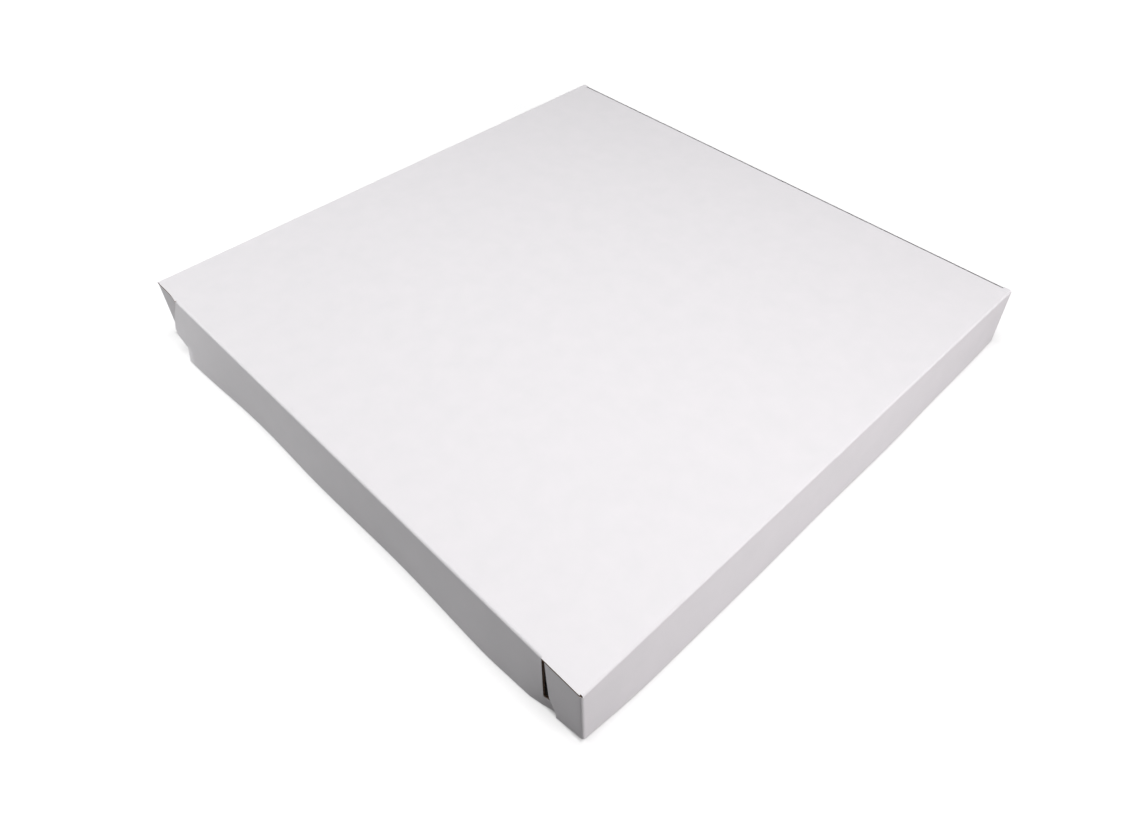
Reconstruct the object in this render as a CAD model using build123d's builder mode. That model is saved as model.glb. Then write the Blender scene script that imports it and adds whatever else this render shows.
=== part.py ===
from build123d import *
import os

# A flat one-piece carry-out box for a round pie, folded from one sheet of thin fluted board.
# The sheet gives a tray and, behind a crease along the back wall, a lid that comes down over it.
# Millimetres. +Z is up, the front is at -Y and the crease is at +Y.
# The origin is the middle of the box's footprint, on the underside of the tray.

# Sheet
board = 1.3  # thickness of the fluted board
fold_radius = 1.45  # outside radius of a creased fold
cut_over = 5.0  # how far every cutting block runs past what it cuts

# Outside of the closed box
box_width = 358.0
box_depth = 358.0
box_height = 39.5

# Clearances
wall_gap = 1.0  # between a lid wall and the tray wall inside it
head_gap = 0.5  # between the top of a tray wall and the lid
table_gap = 0.8  # between the lid's lower edges and the table
crease_gap = 0.25  # of each side of the crease from the hinge line
tuck_gap = 0.2  # between a tucked ear and the return that it sits behind
front_gap = 3.5  # between the lid's front flap and the tray's front wall, with room for the ears

# Lid's front flap, which leans out from its crease and is free at the left end. Its lower edge passes
# through the leans at the run shares, which are counted from the right end to the straight stretch.
flap_inset_right = 23.3  # from the right corner to the flap's end at the crease
flap_inset_left = 24.4  # from the left corner to the flap's end at the crease
flap_lean = 6.8  # how far the flap's lower edge stands out at its free end
flap_flat_run = 14.0  # straight stretch of the flap at its free end
flap_run_shares = [0.047, 0.1, 0.15, 0.25, 0.33, 0.455, 0.61, 0.735, 0.81, 0.86, 0.915, 0.957]
flap_lean_shares = [0.485, 0.59, 0.59, 0.485, 0.44, 0.53, 0.62, 0.54, 0.6, 0.7, 0.84, 0.93]
flap_locked_share = 0.29  # lean at the locked right end, of flap_lean
flap_end_slant = 1.6  # how much further to the right the flap's right end lies at the ear
lobe_reach = 7.4  # how far the lobe at the free end runs out past the crease
lobe_drop_share = 0.65  # how far down the lobe's tip lies, of the wall's drop
lobe_middle_shares = [0.62, 0.3]  # a point half way: out, of lobe_reach, and down, of the drop

# Ears at the ends of the flap: the right one is locked behind its return, the left one has sprung out
ear_height_right = 7.7
ear_height_left = 9.8
ear_reach_right = 14.2  # from the flap's end to the tip of the right ear
ear_set_back = 6.0  # from the flap's end at the crease to the fold of the bent left ear
ear_turn_run = 5.2  # the bent ear runs this far sideways
ear_turn_depth = 9.0  # and this far in

# Corner returns of the lid's side walls
return_length = 20.1
return_taper = 7.9  # how much shorter a return is at its lower edge
return_end_drop_shares = [0.66, 0.9]  # how far down the slant of its end steepens, and where it stops
return_end_taper_shares = [0.44, 1.0]  # of the taper that is used up there
return_lean_right = 2.4  # how far the locked ear pushes the foot of the right return out
corner_notch = 0.7  # left open between the panel, the side's fold and the return at the right corner
corner_set_back_left = 1.1  # how far the left corner stands behind the flap's crease
corner_step_run = 8.0  # the panel's edge comes forward to the flap over this length
return_swing_left = 2.0  # how far the left return's free end has swung in

# Side walls of the lid. The lower edge stands out by these shares of side_lean, at the run shares from
# the back end to the corner fold.
side_lean = 3.8
side_run_shares = [0.0, 0.11, 0.22, 0.33, 0.5, 0.67, 0.84, 0.92, 1.0]
side_lean_shares = [0.45, 0.66, 0.76, 0.97, 0.9, 1.0, 0.96, 0.87, 0.4]

# Tray
tray_return_length = 30.0
tray_return_taper = 9.0

half_width = box_width / 2
half_depth = box_depth / 2
inner_radius = fold_radius - board
lid_fold_z = box_height - fold_radius  # where the lid's folds turn into its walls
lid_drop = lid_fold_z - table_gap
lid_underside = box_height - board

tray_half_width = half_width - board - wall_gap
tray_front = -(half_depth - board - front_gap)
tray_back = half_depth
tray_top = lid_underside - head_gap

flap_right = half_width - flap_inset_right
flap_left = -half_width + flap_inset_left
fold_front = fold_radius - half_depth  # where the panel turns into the flap's fold
panel_half_width = half_width - fold_radius
end_room = flap_lean + return_lean_right  # how far anything on the front stands out of the panel


def tray_wall_profile(low, high):
    """Closed outline of the base with a wall folded up at each end, between two outer faces."""
    with BuildLine() as line:
        Polyline((low, tray_top), (low, fold_radius))
        RadiusArc((low, fold_radius), (low + fold_radius, 0), -fold_radius)
        Line((low + fold_radius, 0), (high - fold_radius, 0))
        RadiusArc((high - fold_radius, 0), (high, fold_radius), -fold_radius)
        Polyline((high, fold_radius), (high, tray_top), (high - board, tray_top))
        Line((high - board, tray_top), (high - board, fold_radius))
        RadiusArc((high - board, fold_radius), (high - fold_radius, board), inner_radius)
        Line((high - fold_radius, board), (low + fold_radius, board))
        RadiusArc((low + fold_radius, board), (low + board, fold_radius), inner_radius)
        Polyline((low + board, fold_radius), (low + board, tray_top), (low, tray_top))
    return line.line


# Corner returns of the tray: each end of the front and back walls turns in along a side wall
with BuildPart() as tray_return:
    corner_x = tray_half_width - board
    with BuildSketch(Plane.XY.offset(fold_radius)):
        with BuildLine():
            Line((corner_x - fold_radius, tray_front), (corner_x - fold_radius, tray_front + board))
            RadiusArc(
                (corner_x - fold_radius, tray_front + board),
                (corner_x - board, tray_front + fold_radius),
                -inner_radius,
            )
            Polyline(
                (corner_x - board, tray_front + fold_radius),
                (corner_x - board, tray_front + tray_return_length),
                (corner_x, tray_front + tray_return_length),
                (corner_x, tray_front + fold_radius),
            )
            RadiusArc(
                (corner_x, tray_front + fold_radius),
                (corner_x - fold_radius, tray_front),
                fold_radius,
            )
        make_face()
    extrude(amount=tray_top - fold_radius)
    # the free end is cut on a slant, shorter at the top
    with BuildSketch(Plane.YZ.offset(corner_x - board - cut_over)):
        with BuildLine():
            Polyline(
                (tray_front + tray_return_length, fold_radius),
                (tray_front + tray_return_length + cut_over, fold_radius),
                (tray_front + tray_return_length + cut_over, tray_top + cut_over),
                (tray_front + tray_return_length - tray_return_taper, tray_top + cut_over),
                (tray_front + tray_return_length - tray_return_taper, tray_top),
                close=True,
            )
        make_face()
    extrude(amount=board + 2 * cut_over, mode=Mode.SUBTRACT)

# Tray: base, four walls and the corner returns
with BuildPart() as tray:
    with BuildSketch(Plane.XZ.offset(-(tray_back - fold_radius))):
        add(tray_wall_profile(-tray_half_width, tray_half_width))
        make_face()
    extrude(amount=tray_back - tray_front - 2 * fold_radius)
    front_half_width = tray_half_width - board - fold_radius
    with BuildSketch(Plane.YZ.offset(-front_half_width)):
        add(tray_wall_profile(tray_front, tray_back))
        make_face()
    extrude(amount=2 * front_half_width)
    # the back wall runs on up to the crease, where it ends in a mitre
    with BuildSketch(Plane.YZ.offset(-front_half_width)):
        with BuildLine():
            Polyline(
                (tray_back, tray_top - board),
                (tray_back, box_height - crease_gap),
                (tray_back - board, box_height - crease_gap - board),
                (tray_back - board, tray_top - board),
                close=True,
            )
        make_face()
    extrude(amount=2 * front_half_width)
    add(tray_return.part)
    add(mirror(tray_return.part, about=Plane.YZ, mode=Mode.PRIVATE))
    middle = Plane.XZ.offset(-(tray_front + tray_back) / 2)
    back_return = mirror(tray_return.part, about=middle, mode=Mode.PRIVATE)
    add(back_return)
    add(mirror(back_return, about=Plane.YZ, mode=Mode.PRIVATE))
tray.part.label = "tray"


def lid_side_section(z, share, lean, front):
    """Level section of the right side wall, its corner fold and its return along the front.

    share is how much of the side's lean is reached at this height, lean how far the return's free end
    stands out there, and front where the return's face starts at the corner.
    """
    return_end = panel_half_width - return_length
    back_end = half_depth - crease_gap
    outer = []
    for run_share, lean_share in zip(side_run_shares, side_lean_shares):
        y = back_end + run_share * (front + fold_radius - back_end)
        outer.append((half_width + share * lean_share * side_lean, y))
    inner = [(x - board, y) for x, y in outer]
    corner_x, corner_y = outer[-1]
    with BuildSketch(Plane.XY.offset(z)) as section:
        with BuildLine():
            Spline(*outer)
            RadiusArc((corner_x, corner_y), (corner_x - fold_radius, front), fold_radius)
            Polyline(
                (corner_x - fold_radius, front),
                (return_end, front - lean),
                (return_end, front - lean + board),
                (corner_x - fold_radius, front + board),
            )
            RadiusArc((corner_x - fold_radius, front + board), inner[-1], -inner_radius)
            Spline(*inner)
            Line(inner[0], outer[0])
        make_face()
    return section.sketch


def lid_side(top_lean, foot_lean, front):
    """Side wall of the lid below its fold, with the free end of the return cut on a slant."""
    return_end = panel_half_width - return_length
    slant = [(return_end, lid_fold_z)]
    for drop_share, taper_share in zip(return_end_drop_shares, return_end_taper_shares):
        slant.append((return_end + taper_share * return_taper, lid_fold_z - drop_share * lid_drop))
    with BuildPart() as side:
        add(lid_side_section(lid_fold_z, 0, top_lean, front))
        add(lid_side_section(table_gap, 1, foot_lean, front))
        loft(ruled=True)
        with BuildSketch(Plane.XZ.offset(half_depth - cut_over)):
            with BuildLine():
                Polyline(
                    (return_end - cut_over, lid_fold_z),
                    *slant,
                    (return_end + return_taper, table_gap - cut_over),
                    (return_end - cut_over, table_gap - cut_over),
                    close=True,
                )
            make_face()
        extrude(amount=2 * cut_over + end_room, mode=Mode.SUBTRACT)
    return side.part


# Side walls of the lid: mirrored, but one return is pushed out and the other has swung in
left_front = corner_set_back_left - half_depth
right_side = lid_side(0, return_lean_right, -half_depth)
left_side = mirror(lid_side(-return_swing_left, -return_swing_left, left_front), about=Plane.YZ)

# Where the right ear runs: far enough behind the leaning return to clear it up to the ear's top
ear_top_share = ear_height_right / lid_drop
ear_depth = (board + tuck_gap) / (1 - ear_top_share)


def right_ear_lean(x):
    """Lean of the right ear's lower edge at x, behind the lean of the return in front of it."""
    slope = return_lean_right / return_length
    return slope * (panel_half_width - x) - ear_depth


def flap_section(z):
    """Level section of the front flap: bowed from the right ear's tip, straight at the free end."""
    share = (lid_fold_z - z) / lid_drop
    ear_tip = flap_right + ear_reach_right
    ear_middle = (flap_right + ear_tip) / 2
    straight_start = flap_left + flap_flat_run
    run = flap_right - straight_start
    points = [
        (ear_tip, right_ear_lean(ear_tip)),
        (ear_middle, right_ear_lean(ear_middle)),
        (flap_right, flap_locked_share * flap_lean),
    ]
    for run_share, lean_share in zip(flap_run_shares, flap_lean_shares):
        points.append((flap_right - run_share * run, lean_share * flap_lean))
    points.append((straight_start, flap_lean))
    outer = [(x, -half_depth - share * lean) for x, lean in points]
    inner = [(x, y + board) for x, y in outer]
    free_end = flap_left - lobe_reach
    free_y = -half_depth - share * flap_lean
    with BuildSketch(Plane.XY.offset(z)) as section:
        with BuildLine():
            Spline(*outer)
            Polyline(outer[-1], (free_end, free_y), (free_end, free_y + board), inner[-1])
            Spline(*inner)
            Line(inner[0], outer[0])
        make_face()
    return section.sketch


def left_ear_section(z):
    """Level section of the left ear: it leaves the flap's face and is bent in towards the tray."""
    fold_x = flap_left + ear_set_back
    share = (lid_fold_z - z) / lid_drop
    flap_y = -half_depth - share * flap_lean
    with BuildSketch(Plane.XY.offset(z)) as section:
        with BuildLine():
            Polyline(
                (fold_x + 2 * board, flap_y),
                (fold_x, flap_y),
                (fold_x - ear_turn_run, flap_y + share * ear_turn_depth),
            )
            offset(amount=board, kind=Kind.INTERSECTION, side=Side.RIGHT, closed=True)
        make_face()
    return section.sketch


# Front flap of the lid below its fold, with the outline of its two ends cut to shape
with BuildPart() as front_flap:
    add(flap_section(lid_fold_z))
    add(flap_section(table_gap))
    loft(ruled=True)
    flap_ends = Plane.XZ.offset(half_depth - cut_over)
    right_ear_z = table_gap + ear_height_right
    left_ear_z = table_gap + ear_height_left
    with BuildSketch(flap_ends):
        past_ear = flap_right + ear_reach_right + cut_over
        with BuildLine():
            Polyline(
                (flap_right, lid_fold_z),
                (flap_right + flap_end_slant, right_ear_z),
                (past_ear, right_ear_z),
                (past_ear, lid_fold_z),
                close=True,
            )
        make_face()
        lobe_tip = (flap_left - lobe_reach, lid_fold_z - lobe_drop_share * lid_drop)
        past_lobe = flap_left - lobe_reach - cut_over
        with BuildLine():
            ThreePointArc(
                (flap_left, lid_fold_z),
                (
                    flap_left - lobe_middle_shares[0] * lobe_reach,
                    lid_fold_z - lobe_middle_shares[1] * lid_drop,
                ),
                lobe_tip,
            )
            Polyline(
                lobe_tip,
                (flap_left + ear_set_back - board, left_ear_z),
                (flap_left + ear_set_back, table_gap),
                (flap_left + ear_set_back, table_gap - cut_over),
                (past_lobe, table_gap - cut_over),
                (past_lobe, lid_fold_z),
                (flap_left, lid_fold_z),
            )
        make_face()
    extrude(amount=2 * cut_over + end_room, mode=Mode.SUBTRACT)

with BuildPart() as left_ear:
    add(left_ear_section(left_ear_z))
    add(left_ear_section(table_gap))
    loft(ruled=True)

# Lid: panel and folds, with its walls, flap and ears
with BuildPart() as lid:
    with BuildSketch(Plane.XZ.offset(crease_gap - half_depth)):
        with BuildLine():
            RadiusArc(
                (-half_width, lid_fold_z),
                (-panel_half_width, box_height),
                fold_radius,
            )
            Line((-panel_half_width, box_height), (panel_half_width, box_height))
            RadiusArc(
                (panel_half_width, box_height),
                (half_width, lid_fold_z),
                fold_radius,
            )
            Line((half_width, lid_fold_z), (half_width - board, lid_fold_z))
            RadiusArc(
                (half_width - board, lid_fold_z),
                (panel_half_width, lid_underside),
                -inner_radius,
            )
            Line((panel_half_width, lid_underside), (-panel_half_width, lid_underside))
            RadiusArc(
                (-panel_half_width, lid_underside),
                (board - half_width, lid_fold_z),
                -inner_radius,
            )
            Line((board - half_width, lid_fold_z), (-half_width, lid_fold_z))
        make_face()
    extrude(amount=half_depth - crease_gap - fold_front)
    # at its front corners the panel runs on over the tops of the returns, flush with the corners
    plate_back = fold_front + corner_set_back_left
    with BuildSketch(Plane.XY.offset(lid_underside)):
        with BuildLine():
            Polyline(
                (flap_right, fold_front),
                (flap_right, -half_depth),
                (panel_half_width, -half_depth),
                (panel_half_width, fold_front),
                close=True,
            )
        make_face()
        with BuildLine():
            Polyline(
                (-panel_half_width, plate_back),
                (-panel_half_width, left_front),
                (flap_left - corner_step_run, left_front),
                (flap_left, -half_depth),
                (flap_left, plate_back),
                close=True,
            )
        make_face()
    extrude(amount=board)
    # the sides' top folds run on too, up to the left corner and a little short of the right one
    for side, run in ((-1, fold_front - left_front), (1, fold_radius - corner_notch)):
        with BuildSketch(Plane.XZ.offset(-fold_front)):
            with BuildLine():
                RadiusArc(
                    (side * half_width, lid_fold_z),
                    (side * panel_half_width, box_height),
                    -side * fold_radius,
                )
                Line((side * panel_half_width, box_height), (side * panel_half_width, lid_underside))
                RadiusArc(
                    (side * panel_half_width, lid_underside),
                    (side * (half_width - board), lid_fold_z),
                    side * inner_radius,
                )
                Line((side * (half_width - board), lid_fold_z), (side * half_width, lid_fold_z))
            make_face()
        extrude(amount=run)
    # the front flap's fold
    with BuildSketch(Plane.YZ.offset(flap_left)):
        with BuildLine():
            RadiusArc(
                (-half_depth, lid_fold_z),
                (fold_front, box_height),
                fold_radius,
            )
            Line((fold_front, box_height), (fold_front, lid_underside))
            RadiusArc(
                (fold_front, lid_underside),
                (board - half_depth, lid_fold_z),
                -inner_radius,
            )
            Line((board - half_depth, lid_fold_z), (-half_depth, lid_fold_z))
        make_face()
    extrude(amount=flap_right - flap_left)
    # the panel's edge along the crease is a mitre that meets the one on the back wall
    with BuildSketch(Plane.YZ.offset(-tray_half_width)):
        with BuildLine():
            Polyline(
                (half_depth - crease_gap, box_height),
                (half_depth - crease_gap - board, lid_underside),
                (half_depth, lid_underside),
                (half_depth, box_height),
                close=True,
            )
        make_face()
    extrude(amount=2 * tray_half_width, mode=Mode.SUBTRACT)
    add(right_side)
    add(left_side)
    add(front_flap.part)
    add(left_ear.part)
lid.part.label = "lid"

os.makedirs("parts", exist_ok=True)
export_step(tray.part, "parts/tray.step")
export_step(lid.part, "parts/lid.step")
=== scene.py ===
import bpy
import math
import numpy as np
from mathutils import Matrix, Vector


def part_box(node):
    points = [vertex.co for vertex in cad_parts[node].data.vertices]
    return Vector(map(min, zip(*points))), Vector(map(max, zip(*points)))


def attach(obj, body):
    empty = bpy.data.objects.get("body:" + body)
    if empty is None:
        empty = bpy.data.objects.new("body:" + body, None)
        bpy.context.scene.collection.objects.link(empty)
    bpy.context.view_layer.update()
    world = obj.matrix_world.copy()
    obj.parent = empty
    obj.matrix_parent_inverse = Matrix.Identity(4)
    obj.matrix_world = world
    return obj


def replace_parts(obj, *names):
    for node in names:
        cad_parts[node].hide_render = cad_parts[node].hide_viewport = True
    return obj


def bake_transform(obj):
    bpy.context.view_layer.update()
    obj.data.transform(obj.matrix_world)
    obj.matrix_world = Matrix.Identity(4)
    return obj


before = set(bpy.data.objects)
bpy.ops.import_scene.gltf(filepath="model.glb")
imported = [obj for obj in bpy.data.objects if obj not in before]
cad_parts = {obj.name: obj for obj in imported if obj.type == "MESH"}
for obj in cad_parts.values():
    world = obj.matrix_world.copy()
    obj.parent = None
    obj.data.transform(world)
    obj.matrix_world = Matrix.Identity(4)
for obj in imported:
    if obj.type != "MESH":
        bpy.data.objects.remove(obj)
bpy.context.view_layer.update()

# Sizes of the whole box, in metres

tray_low, tray_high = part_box("tray")
lid_low, lid_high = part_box("lid")

board = 0.0013  # thickness of the fluted board
fold = 0.00145  # outside radius of a creased fold
flute_pitch = 0.0032  # from one flute of the board to the next
half = tray_high[1]  # half of the closed box's side, and the crease's place
top = lid_high[2]  # upper face of the lid's panel
foot = lid_low[2]  # lower edges of the lid
fold_z = top - fold  # where the lid's folds turn into its walls
drop = fold_z - foot  # height of those walls below the folds
flat = half - fold  # half of the lid's panel between its folds

# Sizes of the front flap, its lobe and its two ears

flap_inset_right = 0.0233
flap_inset_left = 0.0244
flap_right = half - flap_inset_right
flap_left = flap_inset_left - half
flap_lean = 0.0068  # how far the flap's lower edge stands out at its free end
flap_flat_run = 0.014  # straight stretch at that end
flap_run_shares = [0.047, 0.1, 0.15, 0.25, 0.33, 0.455, 0.61, 0.735, 0.81, 0.86, 0.915, 0.957]
flap_lean_shares = [0.485, 0.59, 0.59, 0.485, 0.44, 0.53, 0.62, 0.54, 0.6, 0.7, 0.84, 0.93]
flap_locked_share = 0.29  # share of that lean where the flap meets the right ear
flap_end_slant = 0.0016  # how much further right the flap's right end lies at the ear
flap_end_run = 0.02  # over this length the columns of the flap turn into the slant of its end
flap_end_start = flap_right - flap_end_run
lobe_reach = 0.0074  # how far the free end bulges out
lobe_drop_share = 0.65  # how far down the lobe's tip lies
lobe_power = 1.1
ear_fold_inset = 0.006
ear_fold_x = flap_left + ear_fold_inset  # where the left ear is bent in
ear_height_left = 0.0098
ear_height_right = 0.0077
ear_top_left = foot + ear_height_left
ear_top_right = foot + ear_height_right
ear_reach_right = 0.0142
ear_tip_right = flap_right + ear_reach_right
ear_depth = 0.0019  # how far behind the return the right ear's lower edge passes
ear_turn_run = 0.0052
ear_turn_depth = 0.009
ear_turn_power = 1.3

# Sizes of the lid's side walls and of the returns round its front corners

return_length = 0.0201
return_taper = 0.0079
return_end_drop_shares = [0.66, 0.9]  # how far down the slant of its end steepens, and where it stops
return_end_taper_shares = [0.44, 1.0]
return_lean_right = 0.0024
return_swing_left = 0.002
corner_notch = 0.0007  # left open between the panel, the side's fold and the return at the right corner
left_corner_inset = 0.0011
left_corner = left_corner_inset - half  # face of the left return at its corner, behind the flap's crease
corner_step_run = 0.008  # the panel's edge comes forward to the flap over this length
side_lean = 0.00378  # most that a side wall's lower edge stands out
side_run_shares = [0.0, 0.11, 0.22, 0.33, 0.5, 0.67, 0.84, 0.92, 1.0]
side_lean_shares = [0.45, 0.66, 0.76, 0.97, 0.9, 1.0, 0.96, 0.87, 0.4]
crease_gap = 0.00025
lid_back = half - crease_gap  # raw back edge of the lid's side walls

# Sizes of the tray

head_gap = 0.0005  # from the tops of the tray's walls to the lid's panel
tray_half = tray_high[0]
tray_front = tray_low[1]
tray_top = top - board - head_gap
tray_return_length = 0.030
tray_return_taper = 0.009
return_gap = 0.0001  # between a tray return and the side wall that it lies against
return_x = tray_half - board - return_gap  # outer face of a tray return
front_half = return_x - fold  # half of the tray's front wall between its folds

# Grid lines

weld = 4e-6  # width of the cells in which all points are welded into one
weld_shift_share = 0.37  # keeps round coordinates away from the cells' borders
ARC = np.linspace(0, math.pi / 2, 9)  # angles along a quarter circle


def lines(*stops):
    """Grid lines through the stops, given as stop, divisions, stop and so on. The divisions are even."""
    parts = [np.linspace(a, b, n + 1)[:-1] for a, n, b in zip(stops[:-2:2], stops[1::2], stops[2::2])]
    return np.append(np.concatenate(parts), stops[-1])


side_y = lines(lid_back, 1, flat, 40, left_corner + fold, 1, -flat)
panel_x = lines(-flat, 1, -front_half, 3, flap_left, 2, ear_fold_x, 48, flap_right, 3, front_half, 1, flat)
flap_x = panel_x[(panel_x >= flap_left) & (panel_x <= flap_right)]

# Folded board


def new_object(name, data):
    """A new object in the scene."""
    made = bpy.data.objects.new(name, data)
    bpy.context.scene.collection.objects.link(made)
    return made


def grid(x, y, z, flute):
    """A patch: points on a grid, each with its place across the flutes of the flat sheet."""
    return np.stack(np.broadcast_arrays(x, y, z, flute), axis=-1).astype(float)


def facing(patch, direction):
    """The patch with its faces towards the direction: turned over if its normals' sum points away."""
    p = patch[..., :3]
    normal = np.cross(p[1:, 1:] - p[:-1, :-1], p[1:, :-1] - p[:-1, 1:]).sum(axis=(0, 1))
    return patch if normal @ np.array(direction) > 0 else patch[:, ::-1]


def welded(patches):
    """The patches as one list of points and one of quads. Points in the same cell of the weld are one."""
    points, quads, start = [], [], 0
    for patch in patches:
        rows, columns = patch.shape[:2]
        index = start + np.arange(rows * columns).reshape(rows, columns)
        corners = [index[:-1, :-1], index[:-1, 1:], index[1:, 1:], index[1:, :-1]]
        quads.append(np.stack(corners, axis=-1).reshape(-1, 4))
        points.append(patch.reshape(-1, 4))
        start += rows * columns
    points, quads = np.concatenate(points), np.concatenate(quads)
    cells = np.floor(points[:, :3] / weld + weld_shift_share).astype(np.int64)
    _, first, inverse = np.unique(cells, axis=0, return_index=True, return_inverse=True)
    return points[first], inverse.reshape(-1)[quads]


def point_normals(points, quads):
    """Each point's normal: the mean of the normals of the quads round it, weighted by area. The cross
    product of a quad's diagonals is its normal times twice its area."""
    corner = points[quads]
    crossed = np.cross(corner[:, 2] - corner[:, 0], corner[:, 3] - corner[:, 1])
    normal = np.zeros_like(points)
    for k in range(4):
        np.add.at(normal, quads[:, k], crossed)
    return normal / np.linalg.norm(normal, axis=1, keepdims=True)


def open_edges(quads):
    """The edges that belong to one quad only, as pairs of points in that quad's order."""
    edges = np.stack([quads, np.roll(quads, -1, axis=1)], axis=-1).reshape(-1, 2)
    _, where, count = np.unique(np.sort(edges, axis=1), axis=0, return_inverse=True, return_counts=True)
    return edges[count[where.reshape(-1)] == 1]


def folded_board(name, patches, finish):
    """One folded sheet. Its outer face is the welded patches, its inner face lies one thickness back along
    the points' normals, and a strip of cut edge joins the two along the open edges. The finish lists the
    materials of these three. The attribute sheet holds a point's place across the flutes and its depth in
    the board, 0 outside and 1 inside."""
    points, quads = welded(patches)
    outer, flute = points[:, :3], points[:, 3]
    inner = outer - board * point_normals(outer, quads)
    rim = open_edges(quads)
    n = len(outer)
    rim_quads = np.stack([rim[:, 1], rim[:, 0], rim[:, 0] + n, rim[:, 1] + n], axis=-1)
    faces = np.concatenate([quads, quads[:, ::-1] + n, rim_quads])

    mesh = bpy.data.meshes.new(name)
    mesh.from_pydata(np.concatenate([outer, inner]), [], faces)
    side = np.repeat([0, 1, 2], [len(quads), len(quads), len(rim_quads)])
    mesh.polygons.foreach_set("material_index", side)
    mesh.polygons.foreach_set("use_smooth", side < 2)
    place = np.stack([np.tile(flute, 2), np.repeat([0.0, 1.0], n), np.zeros(2 * n)], axis=-1)
    sheet = mesh.attributes.new("sheet", "FLOAT_VECTOR", "POINT")
    sheet.data.foreach_set("vector", place.astype(np.float32).ravel())
    for material in finish:
        mesh.materials.append(material)
    mesh.update()

    # The edges between the faces and the cut edge are sharp. Each is known by one number from its ends.
    ends = np.empty(2 * len(mesh.edges), dtype=np.int64)
    mesh.edges.foreach_get("vertices", ends)
    ends = np.sort(ends.reshape(-1, 2), axis=1)
    rims = np.sort(np.concatenate([rim, rim + n]), axis=1)
    mesh.edges.foreach_set("use_edge_sharp", np.isin(ends @ [2 * n, 1], rims @ [2 * n, 1]))
    return new_object(name, mesh)


def smooth_line(x, known_x, known_y):
    """A natural cubic spline through the known points, evaluated at x: the second derivatives at the knots
    solve one tridiagonal system, and each stretch is the cubic that they set."""
    kx, ky = np.array(known_x, float), np.array(known_y, float)
    h = np.diff(kx)
    n = len(kx)
    system = np.eye(n)
    inside = np.arange(1, n - 1)
    system[inside, inside - 1] = h[:-1]
    system[inside, inside] = 2 * (h[:-1] + h[1:])
    system[inside, inside + 1] = h[1:]
    right = np.zeros(n)
    right[1:-1] = 6 * (np.diff(ky)[1:] / h[1:] - np.diff(ky)[:-1] / h[:-1])
    bend = np.linalg.solve(system, right)
    k = np.clip(np.searchsorted(kx, x) - 1, 0, n - 2)
    a, b = kx[k + 1] - x, x - kx[k]
    span = h[k]
    return (
        bend[k] * a**3 / (6 * span)
        + bend[k + 1] * b**3 / (6 * span)
        + (ky[k] / span - bend[k] * span / 6) * a
        + (ky[k + 1] / span - bend[k + 1] * span / 6) * b
    )


# Lid


def share_down(z):
    """How far down the lid's wall z lies, from 0 at the fold to 1 at the lower edge."""
    return (fold_z - z) / drop


def flap_lean_at(x):
    """How far the flap's lower edge stands out at x: a spline through the leans seen along it, straight at
    the free end. The right ear's two knots lie one ear's depth behind the return."""
    straight = flap_left + flap_flat_run
    run = flap_right - straight
    slope = return_lean_right / return_length
    ear_middle = (flap_right + ear_tip_right) / 2
    knots = [(straight, flap_lean)]
    for run_share, lean_share in zip(flap_run_shares[::-1], flap_lean_shares[::-1]):
        knots.append((flap_right - run_share * run, lean_share * flap_lean))
    knots.append((flap_right, flap_locked_share * flap_lean))
    for ear_x in (ear_middle, ear_tip_right):
        knots.append((ear_x, slope * (flat - ear_x) - ear_depth))
    known_x, known_y = zip(*knots)
    return np.where(x < straight, flap_lean, smooth_line(np.maximum(x, straight), known_x, known_y))


def flap_flute(z):
    """Place of height z of the flap on the flat sheet: the panel's edge, the fold's arc and the way down."""
    return z - fold_z - flat - fold * math.pi / 2


def flap_point(x, z):
    """The flap's outer face at x and height z, as a patch: it leans out evenly on its way down."""
    return grid(x, -half - share_down(z) * flap_lean_at(x), z, flap_flute(z))


def lobe_edge(z):
    """Where the flap's free end is at height z: a bulge out to the lobe's tip, a power of a sine, then a
    slanted cut back to the ear."""
    tip_z = fold_z - lobe_drop_share * drop
    down = np.clip((fold_z - z) / (fold_z - tip_z), 0, 1)
    bulge = flap_left - lobe_reach * np.sin(down * math.pi / 2) ** lobe_power
    back = np.clip((tip_z - z) / (tip_z - ear_top_left), 0, 1)
    return bulge + back * (ear_fold_x - board - (flap_left - lobe_reach))


def side_lean_at(y, turn_y):
    """How far a side wall's lower edge stands out at y: a spline through the leans seen along it, from its
    raw back edge to turn_y, where it turns into the corner fold."""
    known_y = [lid_back + share * (turn_y - lid_back) for share in side_run_shares]
    return smooth_line(y, known_y[::-1], [share * side_lean for share in side_lean_shares][::-1])


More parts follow.
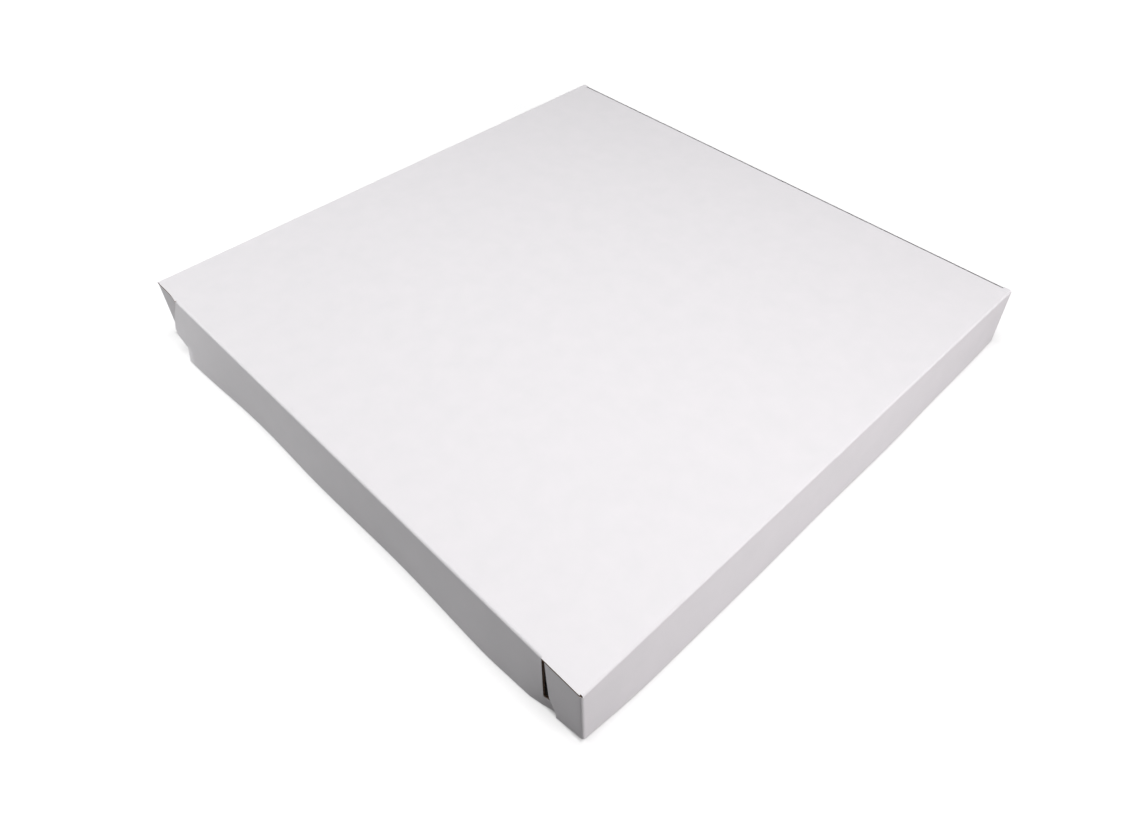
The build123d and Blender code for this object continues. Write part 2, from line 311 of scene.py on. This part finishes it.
def side_patches(sign, lean_top, lean_foot, front, fold_end):
    """A side wall of the lid with its top fold, its corner fold and its return. Level by level the wall
    bows out, turns the corner on an arc and runs along the front from y = front, leaning out evenly towards
    its slanted free end. The arc ends in that lean's direction. The top fold runs on to fold_end."""
    slant, square = (fold_z - share * drop for share in return_end_drop_shares)
    z = lines(fold_z, 5, slant, 3, square, 2, foot)[:, None]
    share = share_down(z)
    turn_y = front + fold
    wall_y = side_y[side_y >= turn_y]
    wall = grid(half + share * side_lean_at(wall_y, turn_y), wall_y, z, wall_y)

    corner_x = flat + share * side_lean_at(turn_y, turn_y)
    length = corner_x - (flat - return_length)
    lean = lean_top + (lean_foot - lean_top) * share
    turn = ARC[1:] * (1 - np.arctan(lean / length) / ARC[-1])
    flute = turn_y - fold * turn
    corner = grid(corner_x + fold * np.cos(turn), turn_y - fold * np.sin(turn), z, flute)

    taper = return_taper * np.interp(share, [0, *return_end_drop_shares], [0, *return_end_taper_shares])
    reach = (length - taper) * np.linspace(0, 1, 13)[1:]
    run = grid(corner_x - reach, front - lean * reach / length, z, flute[:, -1:] - reach)

    level = np.concatenate([wall, corner, run], axis=1)
    fold_y = np.append(side_y, fold_end)
    up = ARC[:, None]
    top_fold = grid(flat + fold * np.sin(up), fold_y, fold_z + fold * np.cos(up), fold_y)
    for patch in (level, top_fold):
        patch[..., 0] *= sign
    return [facing(patch, (sign, 0, 0.1)) for patch in (level, top_fold)]


def panel_patches():
    """The lid's level panel, its raw front edge above each return, and its two raw corners at the back.
    The front edge at the left comes forward in a straight step."""
    panel_y = side_y[:0:-1][:, None]
    left_x = panel_x[panel_x <= flap_left]
    right_x = panel_x[panel_x >= flap_right]
    left_edge = np.interp(left_x, [flap_left - corner_step_run, flap_left], [left_corner, -half])
    left_y = np.stack([left_edge, np.full_like(left_x, -flat)])
    right_y = np.array([-half, corner_notch - half, -flat])[:, None]
    back_y = np.array([flat, lid_back])[:, None]
    stretches = [(panel_x, panel_y), (left_x, left_y), (right_x, right_y)]
    stretches += [(panel_x[:2], back_y), (panel_x[-2:], back_y)]
    return [grid(x, y, top, y) for x, y in stretches]


def flap_patches():
    """The lid's front fold, a quarter circle, and its flap. The flap's face is cut by the lobe's edge at the
    left and by a slant at the right. The right ear runs on in the flap's face, and the left one bends in by
    a power of the share of its width."""
    flap_z = lines(fold_z, 10, ear_top_left, 1, ear_top_right, 3, foot)
    z = flap_z[:, None]
    lobe_z = z[flap_z >= ear_top_left]
    left_ear_z = z[flap_z <= ear_top_left]
    right_ear_z = z[flap_z <= ear_top_right]

    down = ARC[::-1][:, None]
    fold_y = -flat - fold * np.cos(down)
    front_fold = grid(flap_x, fold_y, fold_z + fold * np.sin(down), -flat - fold * ARC[:, None])
    slant = flap_end_slant * np.clip((fold_z - z) / (fold_z - ear_top_right), 0, 1)
    main_x = flap_x[flap_x >= ear_fold_x]
    near_end = np.clip((main_x - flap_end_start) / (flap_right - flap_end_start), 0, 1)
    main = flap_point(main_x + slant * near_end, z)
    across = np.linspace(0, 1, 3)
    lobe = flap_point(lobe_edge(lobe_z) * (1 - across) + ear_fold_x * across, lobe_z)
    right_ear = flap_point(lines(flap_right + flap_end_slant, 6, ear_tip_right), right_ear_z)
    away = np.linspace(1, 0, 7)
    share = share_down(left_ear_z)
    ear_y = -half - share * flap_lean + share * ear_turn_depth * away**ear_turn_power
    left_ear = grid(ear_fold_x - ear_turn_run * away, ear_y, left_ear_z, flap_flute(left_ear_z))
    return [front_fold, main, lobe, right_ear, left_ear]


def lid_patches():
    """The lid's outer face: a level panel, the front flap with its two ears, and the side walls."""
    patches = [facing(patch, (0, -1, 1)) for patch in panel_patches() + flap_patches()]
    patches += side_patches(1, 0, return_lean_right, -half, corner_notch - half)
    return patches + side_patches(-1, -return_swing_left, -return_swing_left, left_corner, left_corner)


# Tray


def wall_outline(levels):
    """Outline of a wall folded up from the base, as how far out and how high its points are: a quarter
    circle, then straight up through the levels."""
    out = np.append(fold * np.sin(ARC), np.full(len(levels) - 1, fold))
    rise = np.append(fold - fold * np.cos(ARC), levels[1:])
    return out[:, None], rise[:, None]


def tray_return(hand, sign, edge, z):
    """The end of the front or back wall, turned in along a side wall: a quarter circle, then a straight run
    whose free end is cut on a slant, shorter at the top."""
    flute = edge + sign * fold + sign * z
    fold_x = hand * (front_half + fold * np.sin(ARC))
    bend = grid(fold_x, edge + sign * fold * np.cos(ARC), z, flute)
    taper = tray_return_taper * (z - fold) / (tray_top - fold)
    reach = (tray_return_length - fold - taper) * np.linspace(0, 1, 9)[1:]
    run = grid(hand * return_x, edge - sign * reach, z, flute)
    return facing(np.concatenate([bend, run], axis=1), (hand, sign * 0.1, 0))


def tray_patches():
    """The tray's outer face: a level base, four walls folded up, and the front and back walls' returns."""
    side_x = tray_half - fold
    low_y, high_y = tray_front + fold, half - fold
    base_x = lines(-side_x, 1, -front_half, 20, front_half, 1, side_x)
    base_y = lines(low_y, 20, high_y)
    patches = [facing(grid(base_x, base_y[:, None], 0, base_y[:, None]), (0, 0, -1))]
    wall_z = lines(fold, 6, tray_top)
    for sign, edge, levels in ((1, high_y, np.append(wall_z, fold_z)), (-1, low_y, wall_z)):
        out, rise = wall_outline(wall_z)
        patches.append(facing(grid(sign * (side_x + out), base_y, rise, base_y), (sign, 0, -0.1)))
        out, rise = wall_outline(levels)
        y = edge + sign * out
        patches.append(facing(grid(base_x[1:-1], y, rise, y + sign * rise), (0, sign, -0.1)))
        patches += [tray_return(hand, sign, edge, wall_z[:, None]) for hand in (1, -1)]
    return patches


def crease_patches():
    """The crease that joins back wall and lid: a short flat stretch of each and a quarter circle."""
    lap = board / 2
    y = np.concatenate([[half], flat + fold * np.cos(ARC), [flat - lap]])[:, None]
    z = np.concatenate([[fold_z - lap], fold_z + fold * np.sin(ARC), [top]])[:, None]
    return [facing(grid(lines(-front_half, 20, front_half), y, z, y), (0, 1, 1))]


# Finishes

cloud_scale = 80.0  # a metre, like the two scales below
fleck_scale = 1600.0
grain_scale = 3000.0
grain_height = 0.4  # of the paper's grain in the relief
flute_height = 0.3  # of the wave of flutes in the relief
core_swing = 0.34  # of the core to each side of the middle, in thicknesses of the board
core_reach = (0.2, 0.1)  # from the core's wave: hollow beyond the first, all paper within the second
liner_reach = (0.32, 0.38)  # from the middle: no liner within the first, all liner beyond the second
white_reach = (0.16, 0.1)  # from the outside: brown beyond the first, white within the second
# painted shade: this dark brown stands for the shade inside the flutes' hollows on the cut edge
hollow_painted_shade = (0.16, 0.105, 0.08)
paper_brown = (0.46, 0.335, 0.25)
edge_white = (0.78, 0.75, 0.75)


def fill(tree, node, inputs):
    """Gives the node's inputs their values. An output is linked, and a colour has three parts."""
    for name, value in inputs.items():
        socket = node.inputs[name]
        if isinstance(value, bpy.types.NodeSocket):
            tree.links.new(value, socket)
        elif socket.type == "RGBA":
            socket.default_value = (*value, 1)
        else:
            socket.default_value = value


def put(tree, kind, inputs=None, **settings):
    """One shader node with its settings made and its inputs filled."""
    made = tree.nodes.new(kind)
    for name, value in settings.items():
        setattr(made, name, value)
    fill(tree, made, inputs or {})
    return made


def maths(tree, operation, *values):
    """The output of one maths node on values or outputs."""
    return put(tree, "ShaderNodeMath", dict(enumerate(values)), operation=operation).outputs[0]


def blended(tree, factor, first, second):
    """A colour that goes from first to second with the factor."""
    made = put(tree, "ShaderNodeMix", {"Factor": factor, "A": first, "B": second}, data_type="RGBA")
    return made.outputs["Result"]


def spread(tree, value, low, high):
    """The value stretched so that low gives 0 and high gives 1, and held there beyond them."""
    made = put(tree, "ShaderNodeMapRange", {"Value": value, "From Min": low, "From Max": high})
    return made.outputs["Result"]


def noise(tree, place, scale, detail, roughness):
    """The value of a noise texture at a place."""
    inputs = {"Vector": place, "Scale": scale, "Detail": detail, "Roughness": roughness}
    return put(tree, "ShaderNodeTexNoise", inputs).outputs["Fac"]


def new_material(name):
    """A new material, with its node tree and its shader."""
    material = bpy.data.materials.new(name)
    material.use_nodes = True
    return material, material.node_tree, material.node_tree.nodes["Principled BSDF"]


def flute_wave(tree):
    """The wave of the board's core, a sine that repeats with the flutes, and the depth in the board. Both
    come from the attribute sheet."""
    sheet = put(tree, "ShaderNodeAttribute", attribute_name="sheet").outputs["Vector"]
    part = put(tree, "ShaderNodeSeparateXYZ", {"Vector": sheet}).outputs
    wave = maths(tree, "SINE", maths(tree, "MULTIPLY", part["X"], 2 * math.pi / flute_pitch))
    return wave, part["Y"]


def make_paper_surface():
    """Paper liner over flutes. Cloud is a soft mottling of about 12 mm and Fleck the fibre specks of under
    1 mm. Relief is a height: mostly the rows of flutes telling through, with the paper's grain on top."""
    group = bpy.data.node_groups.new("paper_surface", "ShaderNodeTree")
    for name in ("Cloud", "Fleck", "Relief"):
        group.interface.new_socket(name, in_out="OUTPUT", socket_type="NodeSocketFloat")
    place = put(group, "ShaderNodeTexCoord").outputs["Object"]
    cloud = noise(group, place, cloud_scale, detail=4.0, roughness=0.6)
    fleck = noise(group, place, fleck_scale, detail=3.0, roughness=0.6)
    grain = noise(group, place, grain_scale, detail=2.0, roughness=0.5)
    wave, _ = flute_wave(group)
    flutes = maths(group, "MULTIPLY", wave, flute_height)
    relief = maths(group, "MULTIPLY_ADD", grain, grain_height, flutes)
    put(group, "NodeGroupOutput", {"Cloud": cloud, "Fleck": fleck, "Relief": relief})
    return group


paper_surface = make_paper_surface()


def liner(name, light, dark, specks, roughness, relief):
    """A face of the board: mottled between the light and dark tones, with fibre specks and the relief of
    its core."""
    material, tree, shader = new_material(name)
    paper = put(tree, "ShaderNodeGroup", node_tree=paper_surface).outputs
    tone = blended(tree, spread(tree, paper["Cloud"], 0.3, 0.7), light, dark)
    speck = maths(tree, "MULTIPLY", spread(tree, paper["Fleck"], 0.6, 0.75), specks)
    colour = blended(tree, speck, tone, dark)
    bump = put(tree, "ShaderNodeBump", {"Height": paper["Relief"], "Strength": 1.0, "Distance": relief})
    normal = bump.outputs["Normal"]
    fill(tree, shader, {"Base Color": colour, "Roughness": roughness, "Normal": normal})
    return material


def cut_board(name):
    """The board's cut edge: two liners with the wave of the core between them, with painted shade, a dark
    brown, where the flutes are hollow, and white along the outside."""
    material, tree, shader = new_material(name)
    wave, depth = flute_wave(tree)
    core_depth = maths(tree, "MULTIPLY_ADD", wave, core_swing, 0.5)
    from_core = maths(tree, "ABSOLUTE", maths(tree, "SUBTRACT", depth, core_depth))
    from_middle = maths(tree, "ABSOLUTE", maths(tree, "SUBTRACT", depth, 0.5))
    core = spread(tree, from_core, *core_reach)
    liners = spread(tree, from_middle, *liner_reach)
    paper = maths(tree, "MAXIMUM", core, liners)
    # painted shade where the flutes are hollow, the paper's own brown elsewhere
    brown = blended(tree, paper, hollow_painted_shade, paper_brown)
    colour = blended(tree, spread(tree, depth, *white_reach), brown, edge_white)
    bump = put(tree, "ShaderNodeBump", {"Height": paper, "Strength": 1.0, "Distance": 0.0003})
    fill(tree, shader, {"Base Color": colour, "Roughness": 0.85, "Normal": bump.outputs["Normal"]})
    return material


white = {"light": (0.85, 0.83, 0.85), "dark": (0.825, 0.81, 0.828)}
kraft = {"light": (0.50, 0.33, 0.19), "dark": (0.40, 0.25, 0.14)}
white_face = liner("white_face", **white, specks=0.5, roughness=0.68, relief=8e-6)
kraft_face = liner("kraft_face", **kraft, specks=0.9, roughness=0.8, relief=3e-5)
sheet_finish = [white_face, kraft_face, cut_board("cut_edge")]

# Pieces

lid_sheet = folded_board("lid_sheet", lid_patches(), sheet_finish)
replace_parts(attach(lid_sheet, "lid"), "lid")
tray_sheet = folded_board("tray_sheet", tray_patches(), sheet_finish)
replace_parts(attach(tray_sheet, "tray"), "tray")
crease = folded_board("crease", crease_patches(), sheet_finish)
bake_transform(crease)

# Floor, light and camera

floor_half = 6.0
floor_drop = 0.0002  # from the tray's underside down to the floor
# painted shadow: out to this margin beyond the lid the floor loses its glow, where the box shades it
painted_shadow_margin = 0.0015  # from the lid's outline to where the floor has its full glow
near_glow = 0.55
far_glow_rise = 0.5  # that much more further out
glow_run = (0.3, 0.7)  # from the middle of the box, where the glow rises
lit_tone = (0.3, 0.3, 0.3)  # of the floor, as the box and the lamps meet it
seen_tone = (0.6, 0.6, 0.6)  # and as the camera does
photo_width = 1148  # in pixels
focal_length = 859.01  # in pixels
sensor_width = 36
camera_place = (0.28002, -0.28468, 0.36067)
camera_right = Vector((0.70049, 0.71365, 0.00486))
camera_below = Vector((0.52379, -0.50948, -0.68269))
camera_ahead = Vector((-0.48473, 0.48076, -0.73069))


def floor_finish():
    """White that glows for the camera alone, more further out. The glow is multiplied by the square of a
    ramp, from 0 at the tray's outline to 1 at the painted shadow's margin, so the floor under and round the
    box is dark: a painted shadow where the box shades the floor."""
    material, tree, shader = new_material("floor_white")
    seen = put(tree, "ShaderNodeLightPath").outputs["Is Camera Ray"]
    tone = blended(tree, seen, lit_tone, seen_tone)
    place = put(tree, "ShaderNodeTexCoord").outputs["Object"]
    away = put(tree, "ShaderNodeVectorMath", {0: place}, operation="LENGTH").outputs["Value"]
    glow = maths(tree, "MULTIPLY_ADD", spread(tree, away, *glow_run), far_glow_rise, near_glow)
    part = put(tree, "ShaderNodeSeparateXYZ", {"Vector": place}).outputs
    across, along = [maths(tree, "ABSOLUTE", part[name]) for name in ("X", "Y")]
    # painted shadow: the glow fades out under and just round the box, where the box shades the floor
    painted_shadow_ramp = spread(tree, maths(tree, "MAXIMUM", across, along), tray_half, half + painted_shadow_margin)
    glow = maths(tree, "MULTIPLY", glow, maths(tree, "POWER", painted_shadow_ramp, 2.0))
    strength = maths(tree, "MULTIPLY", seen, glow)
    fill(tree, shader, {"Base Color": tone, "Specular IOR Level": 0})
    fill(tree, shader, {"Emission Color": (1, 1, 1), "Emission Strength": strength})
    return material


def studio_world():
    """A world that the camera sees as white, and that lights the box as a nearly black one."""
    world = bpy.data.worlds.new("studio")
    world.use_nodes = True
    tree = world.node_tree
    seen = put(tree, "ShaderNodeLightPath").outputs["Is Camera Ray"]
    fill(tree, tree.nodes["Background"], {"Color": blended(tree, seen, (0.05, 0.05, 0.052), (1, 1, 1))})
    return world


def softbox(name, place, aim, size, power, colour):
    """A square area light at place, turned to face aim."""
    lamp = bpy.data.lights.new(name, "AREA")
    lamp.size = size
    lamp.energy = power
    lamp.color = colour
    made = new_object(name, lamp)
    made.location = place
    made.rotation_mode = "QUATERNION"
    made.rotation_quaternion = (Vector(aim) - Vector(place)).to_track_quat("-Z", "Y")


floor_mesh = bpy.data.meshes.new("floor")
floor_corners = [(floor_half * x, floor_half * y, 0) for x, y in ((-1, -1), (1, -1), (1, 1), (-1, 1))]
floor_mesh.from_pydata(floor_corners, [], [(0, 1, 2, 3)])
floor_mesh.materials.append(floor_finish())
floor = new_object("floor", floor_mesh)
floor.location = (0, 0, -floor_drop)

WHITE = (1, 1, 1)
LAMPS = [
    ("key", (0.04, -0.06, 0.88), (0.04, -0.06, 0), 0.4, 5.1, WHITE),
    ("right_side", (0.85, 0.08, 0.33), (0.18, 0, 0.02), 0.5, 4.3, (1, 0.97, 0.98)),
    ("left_front", (-0.62, -0.62, 0.3), (-0.15, -0.18, 0.02), 0.35, 1.8, WHITE),
    ("left_far", (-1.6, -0.55, 0.32), (0, -0.18, 0.02), 0.5, 12.0, WHITE),
    ("behind", (-0.5, 1.1, 0.5), (0, 0.1, 0.03), 0.8, 1.2, WHITE),
]
for lamp in LAMPS:
    softbox(*lamp)

camera_data = bpy.data.cameras.new("camera")
camera_data.sensor_width = sensor_width
camera_data.lens = focal_length / photo_width * sensor_width
camera_data.clip_start = 0.01
camera = new_object("camera", camera_data)
turn = Matrix((camera_right, -camera_below, -camera_ahead)).transposed().to_4x4()
camera.matrix_world = Matrix.Translation(camera_place) @ turn

scene = bpy.context.scene
scene.world = studio_world()
scene.camera = camera
scene.view_settings.view_transform = "Standard"
